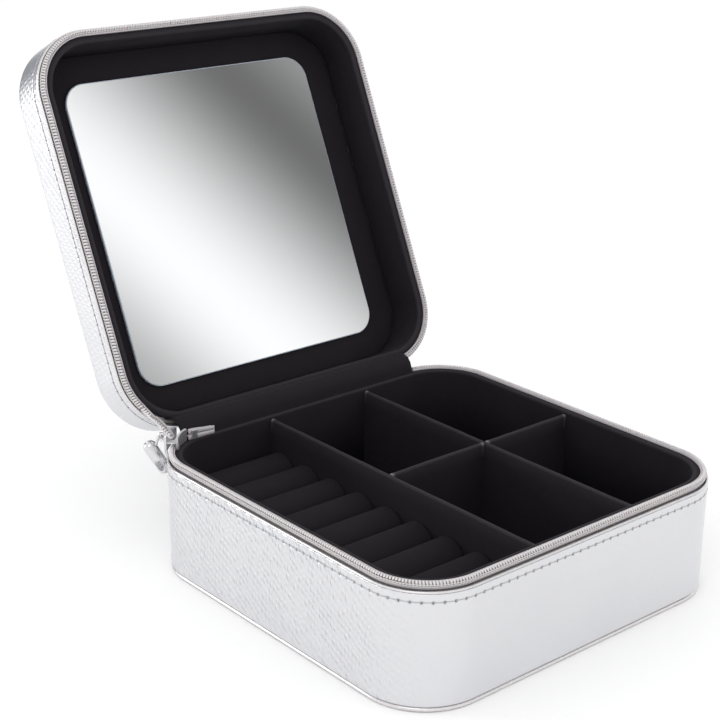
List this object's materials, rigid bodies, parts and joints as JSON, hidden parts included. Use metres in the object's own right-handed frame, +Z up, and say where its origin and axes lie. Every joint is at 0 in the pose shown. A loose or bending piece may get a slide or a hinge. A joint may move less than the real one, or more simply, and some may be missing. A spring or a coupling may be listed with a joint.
{
  "type": "travel jewelry case",
  "caption": "Square zip-around jewelry case, open: padded lid with a mirror, velvet tray with a ring bay and divided compartments, slider with a barrel pull.",
  "frame": {"origin": "centre of the flat underside of the base", "axes": "+Z up from the underside; the lid is hinged along X at the back, +Y; the front is -Y"},
  "size_m": [0.16, 0.2479, 0.1949],
  "materials": {
    "silver_leather": "metallic silver faux leather with a fine snakeskin emboss",
    "silver_edge": "folded silver faux leather edge piping",
    "velvet": "near-black short-pile velvet",
    "tape": "taupe woven polyester tape",
    "coil": "taupe nylon coil",
    "board": "greyboard",
    "foam": "soft polyurethane foam",
    "mirror": "silvered glass",
    "nickel": "polished nickel plate"
  },
  "bodies": {
    "base": {"base_bottom_cover": "silver_leather", "base_bottom_piping": "silver_edge", "base_floor_board": "board", "base_wall_board": "board", "base_side_cover": "silver_leather", "base_top_piping": "silver_edge", "base_zip_tape": "tape", "base_zip_coil": "coil", "zip_tail": "tape", "zip_bottom_stop": "nickel", "zip_top_stop_base": "nickel", "base_spine": "silver_leather", "base_hinge_lining": "velvet", "base_wall_lining": "velvet", "base_floor_pad": "velvet", "divider_ring_bay": "velvet", "divider_middle": "velvet", "divider_cross": "velvet", "ring_bed": "velvet", "ring_roll_1": "velvet", "ring_roll_2": "velvet", "ring_roll_3": "velvet", "ring_roll_4": "velvet", "ring_roll_5": "velvet", "ring_roll_6": "velvet", "ring_roll_7": "velvet", "ring_roll_8": "velvet", "ring_roll_9": "velvet"},
    "lid": {"lid_cover": "silver_leather", "lid_foam_pad": "foam", "lid_top_board": "board", "lid_wall_board": "board", "lid_rim_piping": "silver_edge", "lid_zip_tape": "tape", "lid_zip_coil": "coil", "zip_top_stop_lid": "nickel", "lid_spine": "silver_leather", "lid_hinge_lining": "velvet", "lid_wall_lining": "velvet", "lid_panel": "velvet", "mirror_pad": "foam", "mirror_glass": "mirror"},
    "slider": {"slider_body": "nickel"},
    "pull": {"pull_wire": "nickel", "pull_barrel": "nickel"}
  },
  "joints": [
    {"name": "lid_hinge", "type": "hinge", "parent": "base", "child": "lid", "pos_m": [0, 0.0804, 0.0501], "axis": [1, 0, 0], "range_deg": [0, 114.3]},
    {"name": "slider_round_corner", "type": "hinge", "parent": "base", "child": "slider", "pos_m": [-0.0545, 0.0545, 0.0501], "axis": [0, 0, 1], "range_deg": [0, 54]},
    {"name": "pull_swing", "type": "hinge", "parent": "slider", "child": "pull", "pos_m": [-0.07152, 0.07792, 0.0501], "axis": [0.809, 0.5878, 0], "range_deg": [0, 50]}
  ]
}
